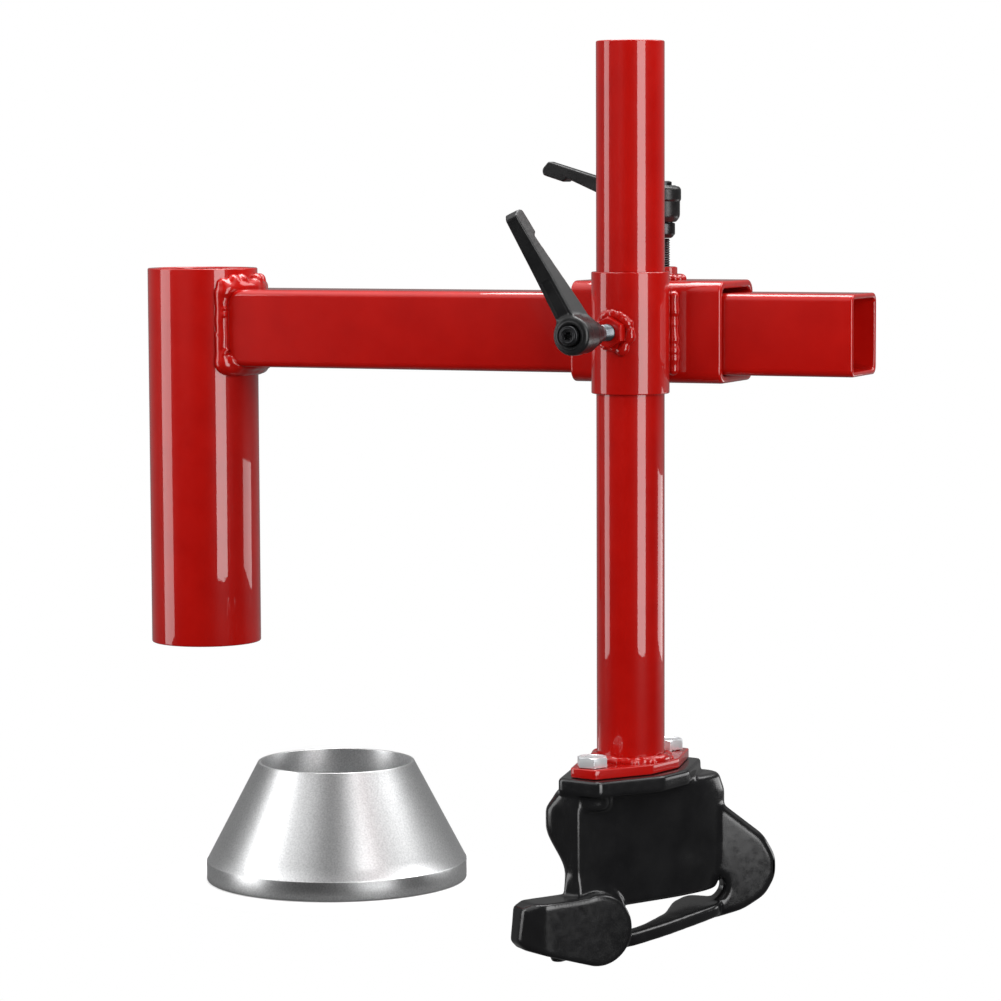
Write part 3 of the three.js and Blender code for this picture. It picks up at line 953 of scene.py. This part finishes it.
def bolt(side, place):
    """A hex bolt: a washer face, a chamfered head with a dished top, and a threaded shank."""
    head = hexagon_block(NUT_FLATS, 0.5, 6.7)
    dish = build("dish", *turned([(AXIS, 6.35), (6.6, 6.35), (7.1, 6.71), (7.1, 9), (AXIS, 9)]))
    combine(head, dish, "DIFFERENCE")
    bevel(head, 0.22, 25, 2)
    face = turned([(AXIS, 0.3), (7.9, 0.3), (8.0, 0.42), (8.0, 0.55), (AXIS, 0.55)])
    washer = build("washer_face", *face)
    shank = build("shank", *threaded(4.95, -20, 0.45, -6))
    for extra in (washer, shank):
        combine(head, extra, "UNION")
    moved(head, place @ Matrix.Translation((0, 0, FLANGE_TOP)) @ Matrix.Rotation(BOLT_TURN, 4, "Z"))
    head.name = f"bolt_{side}"
    dress(head, "zinc_steel", "head", [f"flange_bolt_{side}"], sharp=35)


def brass_insert(side, place):
    """A knurled brass ring with a groove, which holds a bolt in the moulded head."""
    crest, root, bore = 7.5, 7.0, 5.3
    levels = ((root, -15), (crest, -14.4), (crest, -8.6), (root, -8.2), (root, -7.2), (crest, -6.8),
              (crest, -0.9), (7.1, -0.3), (bore, -0.3), (bore, -15))
    shape = loft(knurled(levels, crest, 0.14, 36, 216), looped=True)
    insert = build(f"insert_{side}", *shape, place @ Matrix.Translation((0, 0, HEAD_TOP)))
    dress(insert, "brass", "head", [f"head_insert_{side}"], sharp=40)


def bolts():
    for side, x in (("near", -BOLT_OFFSET), ("far", BOLT_OFFSET)):
        place = on_head @ Matrix.Translation((x, 0, 0))
        bolt(side, place)
        brass_insert(side, place)


# ---------------------------------------------------------------- duck head
FLOOR_Z = -173.0
BILL_HEADING = math.radians(-28)
WING_HEADING = math.radians(-37)


def upright(field, x, y, heading):
    """Length and depth along a vertical plate that stands at a place in the head."""
    dx, dy = field.x - x, field.y - y
    length = dx * math.cos(heading) + dy * math.sin(heading)
    depth = dy * math.cos(heading) - dx * math.sin(heading)
    return length, depth


def drafted(field, stations, edge, reach):
    """A block whose outline changes evenly from each (height, outline) to the next, from its top down."""
    outlines = [(height, eased(points, reach)) for height, points in stations]
    pairs = list(zip(outlines, outlines[1:]))
    flat = np.empty(field.values.shape, np.float32)
    for k, z in enumerate(field.axes[2]):
        (high, above), (low, below) = next((p for p in pairs if z >= p[1][0]), pairs[-1])
        share = np.clip((high - z) / (high - low), 0, 1)
        share = share * share * (3 - 2 * share)
        outline = above * (1 - share) + below * share
        flat[:, :, k] = outline_distance(field.x[:, :, 0], field.y[:, :, 0], outline)
    return slab(flat, field.z, outlines[-1][0], outlines[0][0], edge)


def head_lip(field):
    """The rim under the flange."""
    outline = eased(mirrored([(58, 15), (14.5, 34)]), 2.5)
    return slab(outline_distance(field.x, field.y, outline), field.z, HEAD_TOP - 10, HEAD_TOP, 1.3)


def head_wall(field):
    """The upright wall, which swells into a fin and a shoulder below the lip and narrows to its foot."""
    top = [(-56, 19), (-57, 1), (-20, -12), (20, -24), (42, -29), (59, -30), (67, -19), (63, 6),
           (40, 20), (0, 28), (-36, 28)]
    fin = [(-59, 26), (-58, 1), (-20, -12.5), (20, -24.5), (44, -29.5), (63, -31), (72, -20), (68, 6),
           (40, 20), (0, 28), (-38, 30)]
    shoulder = [(-57, 12), (-58, 1), (-20, -12.5), (20, -24.5), (45, -29.5), (65, -31), (75, -21), (70, 4),
                (40, 14), (0, 20), (-38, 20)]
    foot = [(-57, 9), (-57, 1), (-20, -12), (20, -24), (44, -28), (60, -27), (66, -19), (62, -4),
            (38, 4), (0, 12), (-38, 12)]
    stations = [(HEAD_TOP - 8, top), (-80, fin), (-88, fin), (-118, shoulder), (-141, foot)]
    return drafted(field, stations, 3.4, [7, 2, 10, 10, 9, 9, 9, 9, 10, 10, 9])


def head_neck(field):
    """The narrow part that joins the wall to the bill."""
    top = [(-57, 11), (-57, 1), (-36, -6), (-36, 10)]
    waist = [(-59, 11), (-58, -1), (-36, -7), (-36, 10)]
    foot = [(-73, 14), (-62, -5), (-34, -8), (-34, 8)]
    return drafted(field, [(-118, top), (-126, waist), (-150, foot)], 2, 2)


def head_bill(field):
    """The bill: a plate with a round cheek and a blunt nose, thicker behind the cheek."""
    length, depth = upright(field, -52, -13, BILL_HEADING)
    outline = arc((0, FLOOR_Z + 22), 22.3, -101, 108, 22)
    outline += [(-18, -130.5), (-43, -131.5), (-49, -135), (-51, -156), (-47, -160.5)]
    plate = slab(outline_distance(length, field.z, outline), depth, 0, 24, 1.6)
    nose = (length + 40) * 0.62 + depth * 0.78 - 0.4
    cheek_back = slab(ball((length - 3, field.z + 146.5), 22.5), depth, 12, 27, 3)
    return join(cheek_back, meet(plate, -nose, 4), 1.2)


def head_nub(field):
    """The short peg under the bill."""
    length, depth = upright(field, -52, -13, BILL_HEADING)
    return slab(ball((length + 24, depth - 11), 4.6), field.z, -169.4, -150, 0.8)


def head_wing(field):
    """The hooked plate at the far end, which curls back under the wall."""
    outline = [(0, -76), (13, -84), (31, -98), (44, -108), (52, -122), (52, -135), (45, -147), (30, -155.5),
               (10, -160), (-4, -160), (-2, -151), (10, -149), (17, -142.5), (17, -135), (8, -130),
               (-6, -128)]
    length, depth = upright(field, 55, -10, WING_HEADING)
    return slab(outline_distance(length, field.z, eased(outline, 5)), depth, -16, 0, 4.5)


def head_ledge(field):
    """The sloping strip from the wing to the bill, under the gap."""
    outline = [(-46, -12), (-28, -22), (0, -28), (34, -32.5), (52, -34), (66, -24), (62, -2), (44, -2),
               (20, -12), (-10, -14), (-36, -8), (-50, -2)]
    level = field.z - (-161.5 + 0.085 * field.x)
    return slab(outline_distance(field.x, field.y, eased(outline, 6)), level, 0, 8.5, 1.8)


def duck_head():
    low, high = np.array((-104, -52, FLOOR_Z - 2.5)), np.array((98, 38, HEAD_TOP + 2))
    field = Field(low, high, 0.92)
    x, y, z = field.x, field.y, field.z
    boss = slab(ball((x + BOLT_OFFSET, y), 11), z, HEAD_TOP - 20, HEAD_TOP - 5, 3.5)
    body = join(head_lip(field), head_wall(field), 2.2)
    for part, fillet in ((boss, 3.5), (head_wing(field), 1.6), (head_neck(field), 2.2),
                         (head_bill(field), 1.6), (head_ledge(field), 1.6), (head_nub(field), 1.0)):
        body = join(body, part, fillet)
    dent = ball(((x - 22) / 30, (y + 38) / 13, (z + 112) / 15), 1) * 13
    field.fill(carve(body, dent, 3))
    field.soften(2)
    for at in (-BOLT_OFFSET, BOLT_OFFSET):
        pocket = slab(ball((x - at, y), 7.8), z, HEAD_TOP - 18, HEAD_TOP + 8, 0.2)
        field.values = np.maximum(field.values, -pocket)
    head = build("head", *field.surface(), on_head)
    dress(head, "black_nylon", "head", ["duck_head"])


# ---------------------------------------------------------------- centring cone
CONE_BORE = 52
CONE_TOP = 54
CONE_BAND = 13


def centring_cone():
    low, high = millimetres("centring_cone")
    base, height = (high[0] - low[0]) / 2, high[2] - low[2]
    edge = 0.6
    slope = []
    for share in np.linspace(0, 1, 9):
        slope.append((base - 0.5 + (CONE_TOP + 0.3 - base + 0.5) * share,
                      CONE_BAND + 0.4 + (height - 0.6 - CONE_BAND - 0.4) * share))
    profile = quarter((base - edge, edge), edge, 270)
    profile += [(base, CONE_BAND - 0.5), (base - 0.12, CONE_BAND)] + slope
    profile += quarter((CONE_TOP - 0.3, height - 0.5), 0.5, 20)[:3]
    profile += quarter((CONE_BORE + 0.4, height - 0.4), 0.4, 90)
    profile += quarter((CONE_BORE + edge, edge), edge, 180)
    x, y, _ = middle("centring_cone")
    cone = build("cone", *turned(profile + profile[:1], 256), Matrix.Translation((x, y, low[2])))
    dress(cone, "aluminium", "cone", ["centring_cone"], sharp=24)


# ---------------------------------------------------------------- studio
STUDIO_X = 0.22
FLOOR_SOLID_TO = 0.1
FLOOR_GONE_AT = 0.125


def away(angle, distance, height):
    """A point round the object: angle in degrees, from the camera's side towards its right."""
    turn = CAMERA_YAW + math.radians(angle)
    return Vector((STUDIO_X + distance * math.sin(turn), -distance * math.cos(turn), height))


def softbox(name, place, target, width, height, radiance):
    """A rectangular lamp with a given brightness of its surface. The camera doesn't see it."""
    data = bpy.data.lights.new(name, "AREA")
    data.shape = "RECTANGLE"
    data.size, data.size_y = width, height
    data.energy = radiance * width * height * math.pi
    lamp = bpy.data.objects.new(name, data)
    bpy.context.scene.collection.objects.link(lamp)
    turn = (Vector(target) - place).to_track_quat("-Z", "Y").to_matrix().to_4x4()
    lamp.matrix_world = Matrix.Translation(place) @ turn
    lamp.visible_camera = False
    return lamp


def direction_share(tree, place, along):
    """How far a direction in the world points along another one."""
    made = tree.nodes.new("ShaderNodeVectorMath")
    made.operation = "DOT_PRODUCT"
    made.inputs[1].default_value = along
    tree.links.new(place.outputs["Generated"], made.inputs[0])
    return made.outputs["Value"]


def math_node(tree, operation, *values):
    made = tree.nodes.new("ShaderNodeMath")
    made.operation = operation
    for value, socket in zip(values, made.inputs):
        tree.links.new(value, socket)
    return made.outputs["Value"]


def surroundings():
    """A white room to the eye. What the object reflects is dim in front and bright above and behind."""
    world = bpy.data.worlds.new("studio")
    bpy.context.scene.world = world
    world.use_nodes = True
    tree = world.node_tree
    tree.nodes.clear()
    place = tree.nodes.new("ShaderNodeTexCoord")
    sideways = direction_share(tree, place, (math.cos(CAMERA_YAW), math.sin(CAMERA_YAW), 0))
    forward = direction_share(tree, place, (-math.sin(CAMERA_YAW), math.cos(CAMERA_YAW), 0))
    above = spread(tree, direction_share(tree, place, (0, 0, 1)), 0.0, 0.8, 0.35, 0.8)
    flank = spread(tree, math_node(tree, "ABSOLUTE", sideways), 0.06, 2.0, 0.12, 0.5)
    behind = spread(tree, forward, 0.03, 0.2, 0.0, 0.8)
    ceiling = math_node(tree, "MULTIPLY", above, flank)
    room = node(tree, "ShaderNodeBackground", Color=(1, 1, 1, 1))
    tree.links.new(math_node(tree, "MAXIMUM", ceiling, behind), room.inputs["Strength"])
    seen = node(tree, "ShaderNodeBackground", Color=(1, 1, 1, 1), Strength=1.0)
    ray = tree.nodes.new("ShaderNodeLightPath")
    mix = tree.nodes.new("ShaderNodeMixShader")
    tree.links.new(ray.outputs["Is Camera Ray"], mix.inputs["Fac"])
    tree.links.new(room.outputs["Background"], mix.inputs[1])
    tree.links.new(seen.outputs["Background"], mix.inputs[2])
    out = tree.nodes.new("ShaderNodeOutputWorld")
    tree.links.new(mix.outputs["Shader"], out.inputs["Surface"])


def pale_floor():
    """White and slightly glossy to the eye, dim to the object's own reflections, and gone further out."""
    made = bpy.data.materials.new("pale_floor")
    made.use_nodes = True
    tree = made.node_tree
    shader = tree.nodes["Principled BSDF"]
    shader.inputs["Roughness"].default_value = 0.14
    shader.inputs["Emission Color"].default_value = (1, 1, 1, 1)
    to_camera = tree.nodes.new("ShaderNodeLightPath").outputs["Is Camera Ray"]
    for socket, seen in (("Emission Strength", 0.25), ("Specular IOR Level", 0.2)):
        tree.links.new(spread(tree, to_camera, 0.0, seen, 0.0, 1.0), shader.inputs[socket])
    tone = node(tree, "ShaderNodeMixRGB", Color1=(0.12, 0.12, 0.12, 1), Color2=(0.9, 0.9, 0.9, 1))
    tree.links.new(to_camera, tone.inputs["Fac"])
    tree.links.new(tone.outputs["Color"], shader.inputs["Base Color"])
    place = tree.nodes.new("ShaderNodeTexCoord")
    size = tree.nodes.new("ShaderNodeVectorMath")
    size.operation = "LENGTH"
    tree.links.new(place.outputs["Object"], size.inputs[0])
    fade = spread(tree, size.outputs["Value"], 1.0, 0.0, FLOOR_SOLID_TO, FLOOR_GONE_AT)
    tree.links.new(fade, shader.inputs["Alpha"])
    return made


def floor():
    """A small table top under the cone, which fades out round it so that the head can be seen when the
    post is lowered past it."""
    x, y, _ = middle("centring_cone")
    verts, faces = loft([circle(radius, 0, 96) for radius in (1, 90, 130)])
    top = build("floor", verts, faces[:-2], Matrix.Translation((0, 0, -0.4)))
    top.location = (x * MM, y * MM, FLOOR_Z * MM)
    top.data.materials.append(pale_floor())


def studio():
    """Two upright strips give the streaks on the pipes, and the rest fill in from above and the right."""
    surroundings()
    floor()
    softbox("strip_left", away(-85, 1.3, 0.35), (0.2, 0, 0.35), 0.52, 1.32, 3.6)
    softbox("strip_right", away(36, 1.35, 0.35), (0.3, 0, 0.35), 0.62, 1.32, 6)
    softbox("overhead", Vector((0.25, 0.22, 1.3)), (0.22, -0.05, 0.1), 1.1, 0.6, 12)
    softbox("high_right", away(105, 1.2, 1.1), (0.05, 0.09, -0.12), 0.8, 0.6, 3.5)
    softbox("strip_low", away(112, 0.9, -0.06), (0.33, 0, -0.1), 0.5, 0.2, 3)
    fill = softbox("fill", away(-42, 1.6, 0.7), (0.05, 0, 0.15), 1.0, 1.0, 4.6)
    fill.visible_glossy = False
    bpy.context.scene.view_settings.view_transform = "Standard"


make_camera()
pivot_sleeve()
arm_tube()
arm_weld()
carriage_tube()
post_clamp()
clamp_welds()
weld_nuts()
levers()
post()
flange()
flange_weld()
bolts()
duck_head()
centring_cone()
studio()
